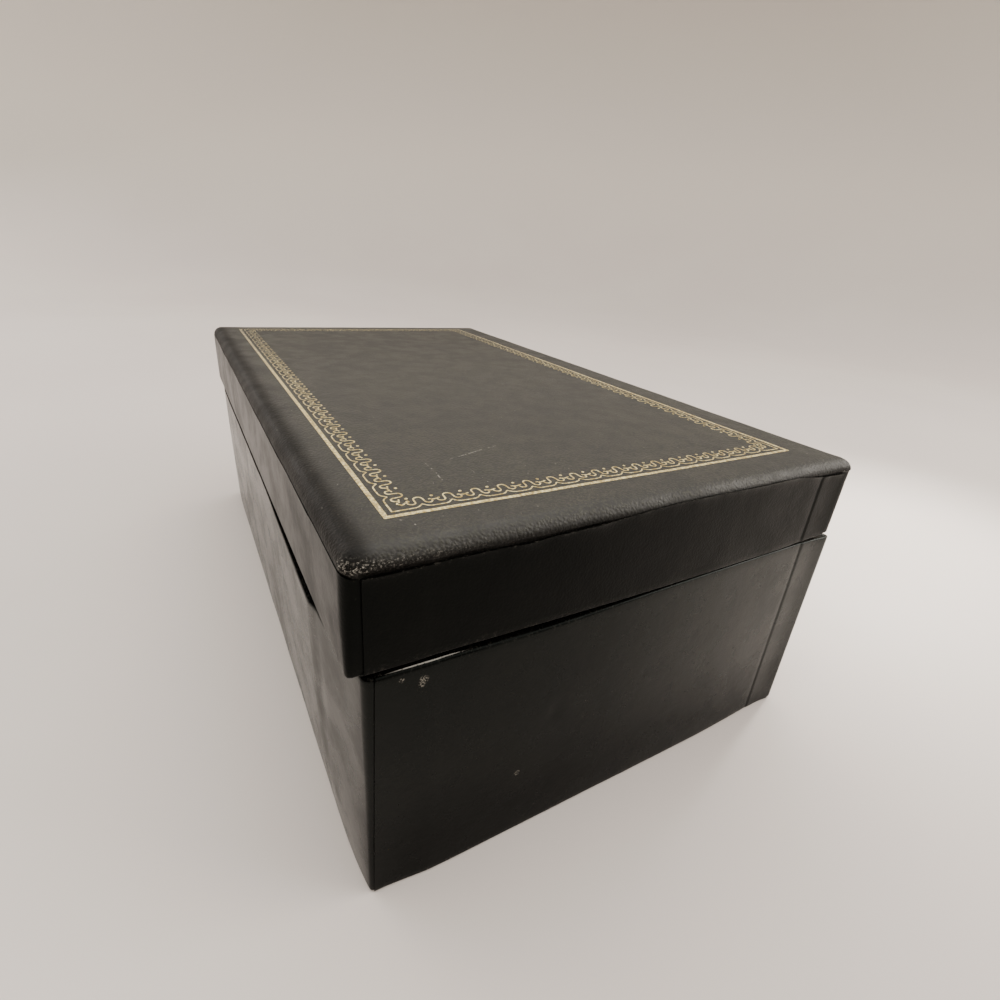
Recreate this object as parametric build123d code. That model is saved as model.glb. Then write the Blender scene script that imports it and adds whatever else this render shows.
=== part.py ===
"""A hinged collar box of greyboard under black leathercloth, with a padded lid and a gilt border.

Millimetres. X runs along the long sides, -Y is the front, +Y the hinged back and +Z up. The origin
is under the middle of the whole box, on the surface that it stands on.
"""

import math
import os
from dataclasses import dataclass

from build123d import *

# The lid and the body, measured over their covers. The lid is cut a little larger than the body
LID_LENGTH = 298.0
LID_WIDTH = 180.0
LID_HEIGHT = 30.2
LID_EXTRA_LENGTH = 1.0
LID_EXTRA_WIDTH = 1.4
BODY_HEIGHT = 80.8
# The dark line between the two rims when the lid is shut
RIM_GAP = 2.0
# The lid was hung a little forward, so it stands out over the front and falls short at the back
FRONT_OVERHANG = 3.9

# Sheet materials
BOARD = 2.4
COVER = 0.5
LINING = 0.8
BASE_PAPER = 0.3
WADDING = 3.0
HINGE_CLOTH = 0.4
GOLD = 0.12

# Rounded vertical corners, over the covers
LID_CORNER = 5.2
BODY_CORNER = 2.8

# Side covers: turned round the corners onto the ends, in over the rim and under the base
CORNER_TAB = 18.0
RIM_TURN = 12.0
BASE_TURN = 15.0
# End panels: pasted over the tabs, with a ramp where they come down off a tab
PANEL_MARGIN = 0.3
PANEL_RAMP = 1.5

# Linings start below the rim, and the base paper stops short of the edges
LINING_REVEAL = 3.0
PAPER_MARGIN = 3.0

# Padded top: its edge rolls over in nearly the corners' radius, and is tucked away at a seam
TOP_ROLL_SHARE = 0.92
SEAM_DROP = 4.6
SEAM_GAP = 0.4

# Gilt border, measured from the lid's edges: the thick outer line stands in further at the back
GILT_END_MARGIN = 13.2
GILT_FRONT_MARGIN = 13.4
GILT_BACK_MARGIN = 17.6
GILT_LINE = 1.5
# Inside it, distances in from the thick line's outer edge: a scalloped line with cusps that point
# inwards, and a running scroll whose arches stand over the cusps
GILT_FINE = 0.5
GILT_PITCH = 8.2
GILT_CORNER = 10.9
SCALLOP_IN = 2.85
CUSP_IN = 4.2
CUSP_HALF = 1.8
CUSP_WAIST_SHARE = 0.45
CUSP_SAG_SHARE = 0.3
SCROLL_LINK_IN = 5.9
SCROLL_BOWL_IN = 5.65
SCROLL_BOWL = 1.0
SCROLL_BOWL_OUT = 2.25
SCROLL_ARCH_IN = 7.1
SCROLL_ARCH = 1.15
SCROLL_STEPS = 3

# Cloth hinge
HINGE_LEAF = 14.0
HINGE_END_MARGIN = 7.0
HINGE_PLAY = 0.3

# Where the faces lie, from the sizes above
BODY_LENGTH = LID_LENGTH - LID_EXTRA_LENGTH
BODY_WIDTH = LID_WIDTH - LID_EXTRA_WIDTH
DEPTH = FRONT_OVERHANG + BODY_WIDTH + HINGE_CLOTH
LID_FRONT = -DEPTH / 2
LID_BACK = LID_FRONT + LID_WIDTH
BODY_FRONT = LID_FRONT + FRONT_OVERHANG
BODY_BACK = BODY_FRONT + BODY_WIDTH
LID_BOTTOM = BODY_HEIGHT + RIM_GAP
HINGE_Y = BODY_BACK + HINGE_CLOTH / 2
HINGE_Z = BODY_HEIGHT + HINGE_PLAY + HINGE_CLOTH / 2


@dataclass
class Tray:
    """Four walls round a hollow. Heights run from the rim, at 0, away from the opening."""

    length: float
    front: float
    back: float
    corner: float
    wall: float
    skirt: float
    floor: float

    @property
    def end(self):
        """Half the length over the boards, which carry a tab and a panel on each end."""
        return self.length / 2 - 2 * COVER

    @property
    def inner_end(self):
        return self.end - BOARD

    @property
    def board_front(self):
        return self.front + COVER

    @property
    def board_back(self):
        return self.back - COVER

    @property
    def inner_front(self):
        return self.board_front + BOARD

    @property
    def inner_back(self):
        return self.board_back - BOARD

    @property
    def turn(self):
        """How far a side cover shows on an end, before it goes under the end panel."""
        return max(self.corner, COVER + BOARD)


BODY_WALL = BODY_HEIGHT - COVER - BASE_PAPER
LID_WALL = LID_HEIGHT - COVER - WADDING - BOARD
BODY = Tray(
    length=BODY_LENGTH,
    front=BODY_FRONT,
    back=BODY_BACK,
    corner=BODY_CORNER,
    wall=BODY_WALL,
    skirt=BODY_WALL + COVER,
    floor=BODY_WALL - BOARD,
)
LID = Tray(
    length=LID_LENGTH,
    front=LID_FRONT,
    back=LID_BACK,
    corner=LID_CORNER,
    wall=LID_WALL,
    skirt=LID_HEIGHT - SEAM_DROP - SEAM_GAP,
    floor=LID_WALL,
)


def between(low, high):
    """The block between two opposite corners."""
    size = [b - a for a, b in zip(low, high)]
    return Pos(*low) * Box(*size, align=Align.MIN)


def rounded_plan(half_length, front, back, radius):
    """A plan with rounded corners, centred along X."""
    middle = (front + back) / 2
    return Pos(0, middle) * RectangleRounded(2 * half_length, back - front, radius)


def raise_plan(plan, low, high):
    """A plan made solid between two heights."""
    return Pos(0, 0, low) * extrude(plan, high - low)


def outline(points):
    return make_face(Polyline(*points, close=True))


def board_plan(tray):
    radius = tray.corner - COVER
    return rounded_plan(tray.end, tray.board_front, tray.board_back, radius)


def cover_plan(tray):
    return rounded_plan(tray.end + COVER, tray.front, tray.back, tray.corner)


def mirror_back(tray, solid):
    """The same piece for the back wall."""
    middle = (tray.front + tray.back) / 2
    return mirror(solid, Plane.XZ.offset(-middle))


def wall_boards(tray):
    """Front and back boards run the whole length, and the end boards stand between them."""
    block = raise_plan(board_plan(tray), COVER, tray.wall)
    front = block & between(
        (-tray.end, tray.board_front, 0), (tray.end, tray.inner_front, tray.wall)
    )
    right = block & between(
        (tray.inner_end, tray.inner_front, 0), (tray.end, tray.inner_back, tray.wall)
    )
    return {
        "front_board": front,
        "back_board": mirror_back(tray, front),
        "right_board": right,
        "left_board": mirror(right, Plane.YZ),
    }


def base_turn_plan(tray, points):
    """A flap under the base, mitred into its neighbours and rounded with the boards."""
    return board_plan(tray) & outline(points)


def side_cover(tray, turned_under):
    """The front strip: face, rounded corners, tabs on the ends, and its turn over the rim."""
    skin = cover_plan(tray) - board_plan(tray)
    edge = tray.end + COVER
    face = raise_plan(skin, 0, tray.skirt) & between(
        (-edge, tray.front, 0), (edge, tray.front + tray.turn, tray.skirt)
    )
    tab_depth = tray.wall if turned_under else tray.skirt
    tabs = raise_plan(skin, COVER, tab_depth) & between(
        (-edge, tray.front, 0), (edge, tray.front + CORNER_TAB, tab_depth)
    )
    rim = raise_plan(board_plan(tray), 0, COVER) & between(
        (-edge, tray.board_front, 0), (edge, tray.inner_front, COVER)
    )
    turn = between(
        (-tray.inner_end, tray.inner_front, 0),
        (tray.inner_end, tray.inner_front + COVER, RIM_TURN),
    )
    strip = face + tabs + rim + turn
    if turned_under:
        inner = tray.end - BASE_TURN
        flap_end = tray.board_front + BASE_TURN
        corners = [
            (-tray.end, tray.board_front),
            (tray.end, tray.board_front),
            (inner, flap_end),
            (-inner, flap_end),
        ]
        strip += raise_plan(base_turn_plan(tray, corners), tray.wall, tray.skirt)
    return strip


def panel_lines(tray):
    """The panel's inner face in plan: out over each tab, in against the board between them."""
    first = tray.front + tray.turn + PANEL_MARGIN
    last = tray.back - tray.turn - PANEL_MARGIN
    off_front_tab = tray.front + CORNER_TAB
    off_back_tab = tray.back - CORNER_TAB
    over, against = tray.end + COVER, tray.end
    return [
        (over, first),
        (over, off_front_tab),
        (against, off_front_tab + PANEL_RAMP),
        (against, off_back_tab - PANEL_RAMP),
        (over, off_back_tab),
        (over, last),
    ]


def end_panel(tray, turned_under):
    """The right end panel, bent over the tabs, with its turn over the rim."""
    inner_line = panel_lines(tray)
    outer_line = [(x + COVER, y) for x, y in inner_line]
    sheet = outline(inner_line + outer_line[::-1])
    first, last = inner_line[0][1], inner_line[-1][1]
    behind = outline([(tray.inner_end, first), *inner_line, (tray.inner_end, last)])
    past_board = behind - board_plan(tray)
    over_board = board_plan(tray) & outline(
        [
            (tray.inner_end, tray.inner_front),
            (tray.end, tray.inner_front),
            (tray.end, tray.inner_back),
            (tray.inner_end, tray.inner_back),
        ]
    )
    rim = raise_plan(over_board + past_board, 0, COVER)
    turn = between(
        (tray.inner_end - COVER, tray.inner_front + COVER, 0),
        (tray.inner_end, tray.inner_back - COVER, RIM_TURN),
    )
    panel = raise_plan(sheet, 0, tray.skirt) + rim + turn
    if turned_under:
        inner = tray.end - BASE_TURN
        flap = base_turn_plan(
            tray,
            [
                (tray.end, tray.board_front),
                (tray.end, tray.board_back),
                (inner, tray.board_back - BASE_TURN),
                (inner, tray.board_front + BASE_TURN),
            ],
        )
        panel += raise_plan(flap + past_board, tray.wall, tray.skirt)
    return panel


def covers(tray, turned_under):
    front = side_cover(tray, turned_under)
    right = end_panel(tray, turned_under)
    return {
        "front_cover": front,
        "back_cover": mirror_back(tray, front),
        "right_end_panel": right,
        "left_end_panel": mirror(right, Plane.YZ),
    }


def linings(tray, floor_name):
    """Paper-covered cards. The floor card goes in first and the wall cards stand on it."""
    foot = tray.floor - LINING
    floor = between(
        (-tray.inner_end, tray.inner_front, foot), (tray.inner_end, tray.inner_back, tray.floor)
    )
    reach = tray.inner_end - COVER
    face = tray.inner_front + COVER + LINING
    over_turn = between(
        (-reach, tray.inner_front + COVER, LINING_REVEAL), (reach, face, foot)
    )
    front = over_turn + between(
        (-reach, tray.inner_front, RIM_TURN), (reach, face, foot)
    )
    back_face = tray.inner_back - COVER - LINING
    right = between((reach - LINING, face, LINING_REVEAL), (reach, back_face, foot))
    right += between((reach - LINING, face, RIM_TURN), (tray.inner_end, back_face, foot))
    return {
        floor_name: floor,
        "front_lining": front,
        "back_lining": mirror_back(tray, front),
        "right_lining": right,
        "left_lining": mirror(right, Plane.YZ),
    }


def base():
    """The floor board, and under it the card that levels the turn-ins and the closing paper."""
    board = between(
        (-BODY.inner_end, BODY.inner_front, BODY.floor),
        (BODY.inner_end, BODY.inner_back, BODY.wall),
    )
    inner = BODY.end - BASE_TURN
    filler = between(
        (-inner, BODY.board_front + BASE_TURN, BODY.wall),
        (inner, BODY.board_back - BASE_TURN, BODY.skirt),
    )
    edge = BODY.end - PAPER_MARGIN
    paper = between(
        (-edge, BODY.board_front + PAPER_MARGIN, BODY.skirt),
        (edge, BODY.board_back - PAPER_MARGIN, BODY_HEIGHT),
    )
    return {"base_board": board, "base_filler": filler, "base_paper": paper}


def rolled_form(plan, inset):
    """The lid's block with its top edge rolled over, set in under its cover by inset."""
    block = raise_plan(plan, 0, LID_HEIGHT - inset)
    top = block.faces().sort_by(Axis.Z)[-1]
    return fillet(top.edges(), TOP_ROLL_SHARE * (LID_CORNER - inset))


def padded_top():
    """Top board, wadding, and the cover that is pulled over both and tucked in at the seam."""
    outside = rolled_form(
        rounded_plan(LID_LENGTH / 2, LID_FRONT, LID_BACK, LID_CORNER), 0
    )
    inside = rolled_form(board_plan(LID), COVER)
    half, seam = LID_LENGTH / 2, LID_HEIGHT - SEAM_DROP
    above_seam = between((-half, LID_FRONT, seam), (half, LID_BACK, LID_HEIGHT))
    top_of_board = LID.wall + BOARD
    board_layer = between((-half, LID_FRONT, LID.wall), (half, LID_BACK, top_of_board))
    pad_layer = between((-half, LID_FRONT, top_of_board), (half, LID_BACK, LID_HEIGHT))
    return {
        "lid_top_board": inside & board_layer,
        "lid_wadding": inside & pad_layer,
        "lid_top_cover": (outside - inside) & above_seam,
    }


def ribbon(points, width):
    """A closed line of even width as a flat face, mitred at each point."""
    nodes = [Vector(*point) for point in points]
    rims = {1: [], -1: []}
    for before, here, after in zip(nodes[-1:] + nodes, nodes, nodes[1:] + nodes[:1]):
        into, onward = (here - before).normalized(), (after - here).normalized()
        left_of_into, left_of_onward = Vector(-into.Y, into.X), Vector(-onward.Y, onward.X)
        mitre = (left_of_into + left_of_onward) / (1 + left_of_into.dot(left_of_onward))
        for side, rim in rims.items():
            rim.append(here + mitre * (side * width / 2))
    inner, outer = (Wire.make_polygon(rim) for rim in rims.values())
    return Face(outer, [inner])


def round_the_border(unit, corner_in):
    """A closed line inside the border: unit's points at each cusp, and a square turn at corners."""
    end = LID_LENGTH / 2 - GILT_END_MARGIN
    front, back = LID_FRONT + GILT_FRONT_MARGIN, LID_BACK - GILT_BACK_MARGIN
    corners = [Vector(*xy) for xy in [(-end, front), (end, front), (end, back), (-end, back)]]
    points = []
    for start, stop in zip(corners, corners[1:] + corners[:1]):
        along = (stop - start).normalized()
        inward = Vector(-along.Y, along.X)
        run = (stop - start).length - 2 * GILT_CORNER
        repeats = max(1, round(run / GILT_PITCH))
        points.append(start + (along + inward) * corner_in)
        for index in range(repeats + 1):
            cusp = start + along * (GILT_CORNER + run * index / repeats)
            points += [cusp + along * beside + inward * inside for beside, inside in unit]
    return points


def scallop_unit():
    """One cusp with its hollow shoulders, as steps along the line and in from its outer edge."""
    waist = CUSP_HALF * CUSP_WAIST_SHARE
    sag = SCALLOP_IN + (CUSP_IN - SCALLOP_IN) * CUSP_SAG_SHARE
    half = [(-CUSP_HALF, SCALLOP_IN), (-waist, sag)]
    return [*half, (0, CUSP_IN), *[(-beside, inside) for beside, inside in half[::-1]]]


def arc_steps(beside, inside, radius, first, last):
    """Points round an arc, by angles in degrees."""
    angles = [math.radians(first + (last - first) * k / SCROLL_STEPS) for k in range(SCROLL_STEPS)]
    return [(beside + radius * math.cos(a), inside + radius * math.sin(a)) for a in angles]


def scroll_unit():
    """One arch of the scroll between its two bowls."""
    half = [
        *arc_steps(-SCROLL_BOWL_OUT, SCROLL_BOWL_IN, SCROLL_BOWL, 180, 360),
        (SCROLL_BOWL - SCROLL_BOWL_OUT, SCROLL_BOWL_IN),
    ]
    arch = [*arc_steps(0, SCROLL_ARCH_IN, SCROLL_ARCH, 180, 0), (SCROLL_ARCH, SCROLL_ARCH_IN)]
    return [*half, *arch, *[(-beside, inside) for beside, inside in half[::-1]]]


def gilt_border():
    """Gold lines laid on the cover: a thick outer one, a scalloped one and a running scroll."""
    thick_in = GILT_LINE / 2
    lines = {
        "gilt_line": ribbon(round_the_border([], thick_in), GILT_LINE),
        "gilt_scallops": ribbon(round_the_border(scallop_unit(), SCALLOP_IN), GILT_FINE),
        "gilt_scroll": ribbon(round_the_border(scroll_unit(), SCROLL_LINK_IN), GILT_FINE),
    }
    return {name: raise_plan(line, LID_HEIGHT, LID_HEIGHT + GOLD) for name, line in lines.items()}


def cloth_strip(points):
    """A strip of hinge cloth along points in Y and Z, round at its ends and folds."""
    profile = None
    for (y0, z0), (y1, z1) in zip(points, points[1:]):
        length = math.hypot(y1 - y0, z1 - z0)
        turn = math.degrees(math.atan2(z1 - z0, y1 - y0))
        run = Pos((y0 + y1) / 2, (z0 + z1) / 2) * SlotCenterToCenter(
            length, HINGE_CLOTH, rotation=turn
        )
        profile = run if profile is None else profile + run
    reach = BODY_LENGTH / 2 - HINGE_END_MARGIN
    return extrude(Plane.YZ.offset(-reach) * profile, 2 * reach)


def hinge():
    """The body's leaf stops at the rim. The lid's leaf has the free strip down to the hinge line."""
    reach = BODY_LENGTH / 2 - HINGE_END_MARGIN
    body_leaf = between(
        (-reach, BODY_BACK, BODY_HEIGHT - HINGE_LEAF),
        (reach, BODY_BACK + HINGE_CLOTH, BODY_HEIGHT),
    )
    on_lid = LID_BACK + HINGE_CLOTH / 2
    lid_leaf = cloth_strip(
        [(on_lid, LID_BOTTOM + HINGE_LEAF), (on_lid, LID_BOTTOM), (HINGE_Y, HINGE_Z)]
    )
    return {"hinge_body_leaf": body_leaf, "hinge_lid_leaf": lid_leaf}


def seat_body(solid):
    """Heights from the rim become heights above the ground, upside down."""
    return Pos(0, 0, BODY_HEIGHT) * mirror(solid, Plane.XY)


def seat_lid(solid):
    return Pos(0, 0, LID_BOTTOM) * solid


def whole_box():
    body = {**wall_boards(BODY), **covers(BODY, True), **linings(BODY, "floor_lining"), **base()}
    lid = {**wall_boards(LID), **covers(LID, False), **linings(LID, "top_lining")}
    nodes = {name: seat_body(solid) for name, solid in body.items()}
    nodes.update({f"lid_{name}": seat_lid(solid) for name, solid in lid.items()})
    nodes.update({name: seat_lid(solid) for name, solid in padded_top().items()})
    nodes.update({name: seat_lid(solid) for name, solid in gilt_border().items()})
    nodes.update(hinge())
    return nodes


os.makedirs("parts", exist_ok=True)
for name, solid in whole_box().items():
    export_step(solid, f"parts/{name}.step")
print(f"hinge line at y {HINGE_Y:.2f}, z {HINGE_Z:.2f}; whole depth {DEPTH:.2f}")
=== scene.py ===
"""Looks of the collar box: leathercloth covers, padded lid, gilt border, cloth hinge and linings.

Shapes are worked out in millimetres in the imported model's frame and stored in metres.
"""

import math
from collections import namedtuple

import bmesh
import bpy
import numpy as np
from mathutils import Matrix, Vector, noise
from mathutils.bvhtree import BVHTree


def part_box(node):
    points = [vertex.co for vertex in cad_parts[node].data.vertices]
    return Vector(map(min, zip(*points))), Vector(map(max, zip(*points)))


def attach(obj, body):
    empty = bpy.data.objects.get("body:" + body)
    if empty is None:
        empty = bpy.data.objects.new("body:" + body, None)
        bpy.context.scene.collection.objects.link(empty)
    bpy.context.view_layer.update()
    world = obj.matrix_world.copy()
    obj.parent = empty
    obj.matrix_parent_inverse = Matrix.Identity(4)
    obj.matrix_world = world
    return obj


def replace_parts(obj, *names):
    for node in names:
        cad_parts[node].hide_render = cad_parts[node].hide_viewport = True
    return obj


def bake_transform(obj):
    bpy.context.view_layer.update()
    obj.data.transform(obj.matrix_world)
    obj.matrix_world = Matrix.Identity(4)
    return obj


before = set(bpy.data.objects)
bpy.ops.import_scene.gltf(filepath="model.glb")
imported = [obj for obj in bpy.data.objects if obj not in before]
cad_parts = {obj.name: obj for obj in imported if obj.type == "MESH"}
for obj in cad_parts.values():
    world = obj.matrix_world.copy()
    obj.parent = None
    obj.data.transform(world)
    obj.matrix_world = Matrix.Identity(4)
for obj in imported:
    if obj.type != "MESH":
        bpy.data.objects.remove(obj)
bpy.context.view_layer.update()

MM = 0.001

# The photograph's camera: where it stands in millimetres, its focal length and how it is turned
CAMERA_PLACE = (242.04, -113.26, 170.78)
CAMERA_LENS = 19.594
CAMERA_FORWARD = (-0.77272, 0.47573, -0.42021)
CAMERA_UP = (-0.40125, 0.14686, 0.90412)
SKY_STRENGTH = 1.9

# Marks on the covers: chips as a place and a radius, on the right end as (y, z) and on top as
# (x, y), and scratches on top as two ends, a width and how broken up they are
BODY_CHIPS = (
    ((-72.9, 74.7), 1.6),
    ((-73.4, 73.2), 1.2),
    ((-78.5, 76.5), 0.9),
    ((-42.0, 26.1), 1.3),
)
TOP_CHIPS = (((141.5, -77), 2.6), ((136.8, -84), 1.6), ((101.6, -57.5), 1.2))
SCRATCHES = (
    ((107, -49), (100, -27), 0.22, 0.44),
    ((106, -56), (125, -57), 0.3, 0.52),
    ((115, -46), (128, -45), 0.16, 0.5),
    ((72, -18), (66, 2), 0.2, 0.55),
    ((20, 12), (52, 26), 0.2, 0.55),
    ((-42, -66), (-12, -38), 0.25, 0.55),
)

# Thicknesses of the cloth and the board, and how far the cloth is turned in, under and round
COVER = 0.5
BOARD = 2.4
TURN_IN = 12.0
BASE_TURN = 15.0
CORNER_TAB = 18.0
BACK_TAB = 14.5
PANEL_MARGIN = 0.3
TOP_ROLL = 4.8

# Corner radii in plan
LID_CORNER = 3.7
BODY_CORNER = 2.3
LID_BACK_CORNER = 2.0
BODY_BACK_CORNER = 1.0

# How far the padding may blow up, how far the body's ends lean out, and how far its front wall
# stands out at the foot and at the rim, with what it gains there towards the crease
SWELL_CAP = 0.75
END_LEAN = 1.7
FOOT_OUT = 1.9
RIM_OUT = 3.7
RIM_OUT_MORE = 0.95

# The gilt border: width of its thick line, pitch of the scroll, run of a corner, radius of a
# pearl, and how far the leaf stands up
LINE_WIDTH = 1.2
SCROLL_PITCH = 8.2
CORNER_RUN = 10.9
PEARL = 0.46
LEAF = 0.06

# Rows of a cover nearer to the outside than this show its worn edge
SHOWN_INSET = 3.3


def box_mm(node):
    low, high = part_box(node)
    return np.array(low) / MM, np.array(high) / MM


def clamp(value, low, high):
    return min(max(value, low), high)


def smooth_step(value, start, end):
    share = clamp((value - start) / (end - start), 0.0, 1.0)
    return share * share * (3 - 2 * share)


def bell(value, middle, width):
    return math.exp(-(((value - middle) / width) ** 2))


def wobble(x, y, z, size, seed):
    """Smooth noise from -1 to 1 that changes over about size millimetres."""
    return noise.noise(Vector((x / size + seed * 7.1, y / size - seed * 3.7, z / size + seed)))


def hex_colour(code):
    """A colour given as sRGB hex, made linear."""
    channels = [int(code[k : k + 2], 16) / 255 for k in (1, 3, 5)]
    linear = [c / 12.92 if c <= 0.04045 else ((c + 0.055) / 1.055) ** 2.4 for c in channels]
    return (*linear, 1.0)


def link_object(name, data):
    piece = bpy.data.objects.new(name, data)
    bpy.context.collection.objects.link(piece)
    return piece


class Nodes:
    """A node tree being built. Inputs are sockets to join, numbers, vectors or hex colours."""

    def __init__(self, tree):
        self.tree = tree

    def feed(self, value, socket):
        if isinstance(value, bpy.types.NodeSocket):
            self.tree.links.new(value, socket)
        else:
            socket.default_value = hex_colour(value) if isinstance(value, str) else value

    def add(self, kind, inputs, **settings):
        """A new node with its settings and then its inputs, by name or number."""
        node = self.tree.nodes.new(kind)
        for name, value in settings.items():
            setattr(node, name, value)
        for key, value in inputs.items():
            self.feed(value, node.inputs[key])
        return node

    def math(self, operation, *values):
        node = self.add("ShaderNodeMath", dict(enumerate(values)), operation=operation)
        return node.outputs[0]

    def vectors(self, operation, *values):
        inputs = dict(enumerate(values))
        return self.add("ShaderNodeVectorMath", inputs, operation=operation).outputs

    def times(self, first, *others):
        for other in others:
            first = self.math("MULTIPLY", first, other)
        return first

    def rest_of(self, share):
        return self.math("SUBTRACT", 1.0, share)

    def ramp(self, value, low, high, to_low=0.0, to_high=1.0):
        inputs = {"Value": value, "From Min": low, "From Max": high}
        inputs.update({"To Min": to_low, "To Max": to_high})
        node = self.add("ShaderNodeMapRange", inputs, interpolation_type="SMOOTHSTEP")
        return node.outputs["Result"]

    def blend(self, factor, first, second):
        inputs = {"Factor": factor, "A": first, "B": second}
        return self.add("ShaderNodeMix", inputs, data_type="RGBA").outputs["Result"]


# Camera and light

def make_camera():
    """The photograph's pinhole camera, fitted to the box's edges."""
    data = bpy.data.cameras.new("Camera")
    data.lens = CAMERA_LENS
    data.sensor_width = 36.0
    data.sensor_fit = "HORIZONTAL"
    data.clip_start = 0.01
    camera = link_object("Camera", data)
    forward = Vector(CAMERA_FORWARD).normalized()
    right = forward.cross(Vector(CAMERA_UP)).normalized()
    turn = Matrix((right, right.cross(forward), -forward)).transposed().to_4x4()
    camera.matrix_world = Matrix.Translation(Vector(CAMERA_PLACE) * MM) @ turn
    bpy.context.scene.camera = camera


def set_up_lamp(data, place, target, power, tint):
    """Puts a lamp at a place and turns it to a target, both in metres."""
    data.energy = power
    data.color = hex_colour(tint)[:3]
    aim = Vector(target) - Vector(place)
    turn = aim.to_track_quat("-Z", "Y").to_matrix().to_4x4()
    link_object(data.name, data).matrix_world = Matrix.Translation(place) @ turn


def make_lights():
    """Three soft boxes, and a lamp behind the box that whitens the floor past its right end."""
    for name, size, *setting in (
        ("Top softbox", (1.4, 1.4), (-0.15, 0.05, 1.3), (0, 0, 0), 13.0, "#fffaf3"),
        ("Left softbox", (0.9, 0.7), (-1.25, -0.8, 0.85), (-0.1, 0, 0.05), 7.0, "#fffaf5"),
        ("Right softbox", (0.9, 0.7), (0.75, 1.25, 0.7), (0.35, 0.3, 0), 15.0, "#fff8ee"),
    ):
        data = bpy.data.lights.new(name, "AREA")
        data.shape = "RECTANGLE"
        data.size, data.size_y = size
        set_up_lamp(data, *setting)
    data = bpy.data.lights.new("Floor lamp", "SPOT")
    data.spot_size = math.radians(21)
    data.spot_blend = 0.8
    data.shadow_soft_size = 0.08
    set_up_lamp(data, (-0.1, 0.9, 0.8), (0.09, 0.3, 0.0), 85.0, "#fff9ee")


def make_world():
    """Pale light from above and all round, but for the dark room at the tent's open near side."""
    world = bpy.data.worlds.new("Light tent")
    world.use_nodes = True
    bpy.context.scene.world = world
    nodes = Nodes(world.node_tree)
    where = nodes.add("ShaderNodeTexCoord", {}).outputs["Generated"]
    shares = []
    for direction, low, high in (((0.78, -0.62, 0), 0.0, 0.55), ((0, 0, 1), 0.8, 0.4)):
        facing = nodes.vectors("DOT_PRODUCT", where, direction)["Value"]
        shares.append(nodes.ramp(facing, low, high))
    seen = nodes.add("ShaderNodeLightPath", {}).outputs["Is Camera Ray"]
    dark = nodes.times(*shares, nodes.rest_of(seen))
    sky = world.node_tree.nodes["Background"]
    nodes.feed(SKY_STRENGTH, sky.inputs["Strength"])
    nodes.feed(nodes.blend(dark, "#dcd6ce", "#151413"), sky.inputs["Color"])


# Materials

class Recipe(Nodes):
    """A node material being built. Coordinates are the object's own, in millimetres."""

    def __init__(self, name):
        self.material = bpy.data.materials.new(name)
        self.material.use_nodes = True
        super().__init__(self.material.node_tree)
        coords = self.add("ShaderNodeTexCoord", {}).outputs["Object"]
        inputs = {0: coords, "Scale": 1 / MM}
        self.place = self.add("ShaderNodeVectorMath", inputs, operation="SCALE").outputs[0]

    def put(self, name, value):
        """Feeds an input of the shader."""
        self.feed(value, self.tree.nodes["Principled BSDF"].inputs[name])

    def stretched(self, scale):
        inputs = {"Scale": scale, "Vector": self.place}
        return self.add("ShaderNodeMapping", inputs).outputs[0]

    def noise(self, size, detail=2.0, roughness=0.5, place=None):
        inputs = {"Scale": 1 / size, "Detail": detail, "Roughness": roughness}
        inputs["Vector"] = place or self.place
        return self.add("ShaderNodeTexNoise", inputs).outputs["Fac"]

    def blotches(self, size, detail, roughness, low, high, to_low=0.0, to_high=1.0):
        """Noise as patches that begin and end softly between two levels."""
        return self.ramp(self.noise(size, detail, roughness), low, high, to_low, to_high)

    def pebble(self, size):
        """Pressed grain: rounded cells of uneven size, as a height map."""
        inputs = {"Scale": 0.45 / size, "Vector": self.place}
        drift = self.add("ShaderNodeTexNoise", inputs).outputs["Color"]
        shifted = self.vectors("MULTIPLY_ADD", drift, (size, size, size), self.place)[0]
        inputs = {"Scale": 1 / size, "Smoothness": 0.7, "Vector": shifted}
        cells = self.add("ShaderNodeTexVoronoi", inputs, feature="SMOOTH_F1")
        return self.rest_of(cells.outputs["Distance"])

    # The wear attribute: rubbed wear, and on the body's end rims also a painted highlight
    def wear(self):
        node = self.add("ShaderNodeAttribute", {}, attribute_name="wear")
        return node.outputs["Fac"]

    def axis(self, letter):
        return self.add("ShaderNodeSeparateXYZ", {0: self.place}).outputs[letter]

    def scratch(self, start, end, width, break_up):
        """A faint line on the top between two points in plan, broken up by noise."""
        run = Vector(end) - Vector(start)
        ahead = run.normalized()
        offset = self.vectors("SUBTRACT", self.place, (*start, 0))[0]
        along = self.vectors("DOT_PRODUCT", offset, (*ahead, 0))["Value"]
        across = self.vectors("DOT_PRODUCT", offset, (-ahead.y, ahead.x, 0))["Value"]
        bent = self.math("ADD", across, self.times(self.noise(14), 1.6))
        beside = self.math("ABSOLUTE", self.math("SUBTRACT", bent, 0.8))
        return self.times(
            self.ramp(beside, width, width * 0.3),
            self.blotches(1.1, 3.0, 0.5, break_up, break_up + 0.12),
            self.ramp(along, 0, 2),
            self.ramp(along, run.length, run.length - 2),
        )

    def patch(self, middle, radius, facing="Z"):
        """1 at a point of a flat face and 0 beyond a radius from it."""
        flat, centre = (1, 1, 0), (*middle, 0)
        if facing == "X":
            flat, centre = (0, 1, 1), (0, *middle)
        in_face = self.vectors("MULTIPLY", self.place, flat)[0]
        away = self.vectors("DISTANCE", in_face, centre)["Value"]
        return self.ramp(away, radius, radius * 0.3)

    def relief(self, *layers):
        """Height maps with their depths in millimetres, from the coarsest to the finest."""
        normal = {}
        for height, depth in layers:
            inputs = {"Strength": 1.0, "Distance": depth * MM, "Height": height, **normal}
            normal = {"Normal": self.add("ShaderNodeBump", inputs).outputs[0]}
        self.put("Normal", normal["Normal"])
        return self.material


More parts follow.
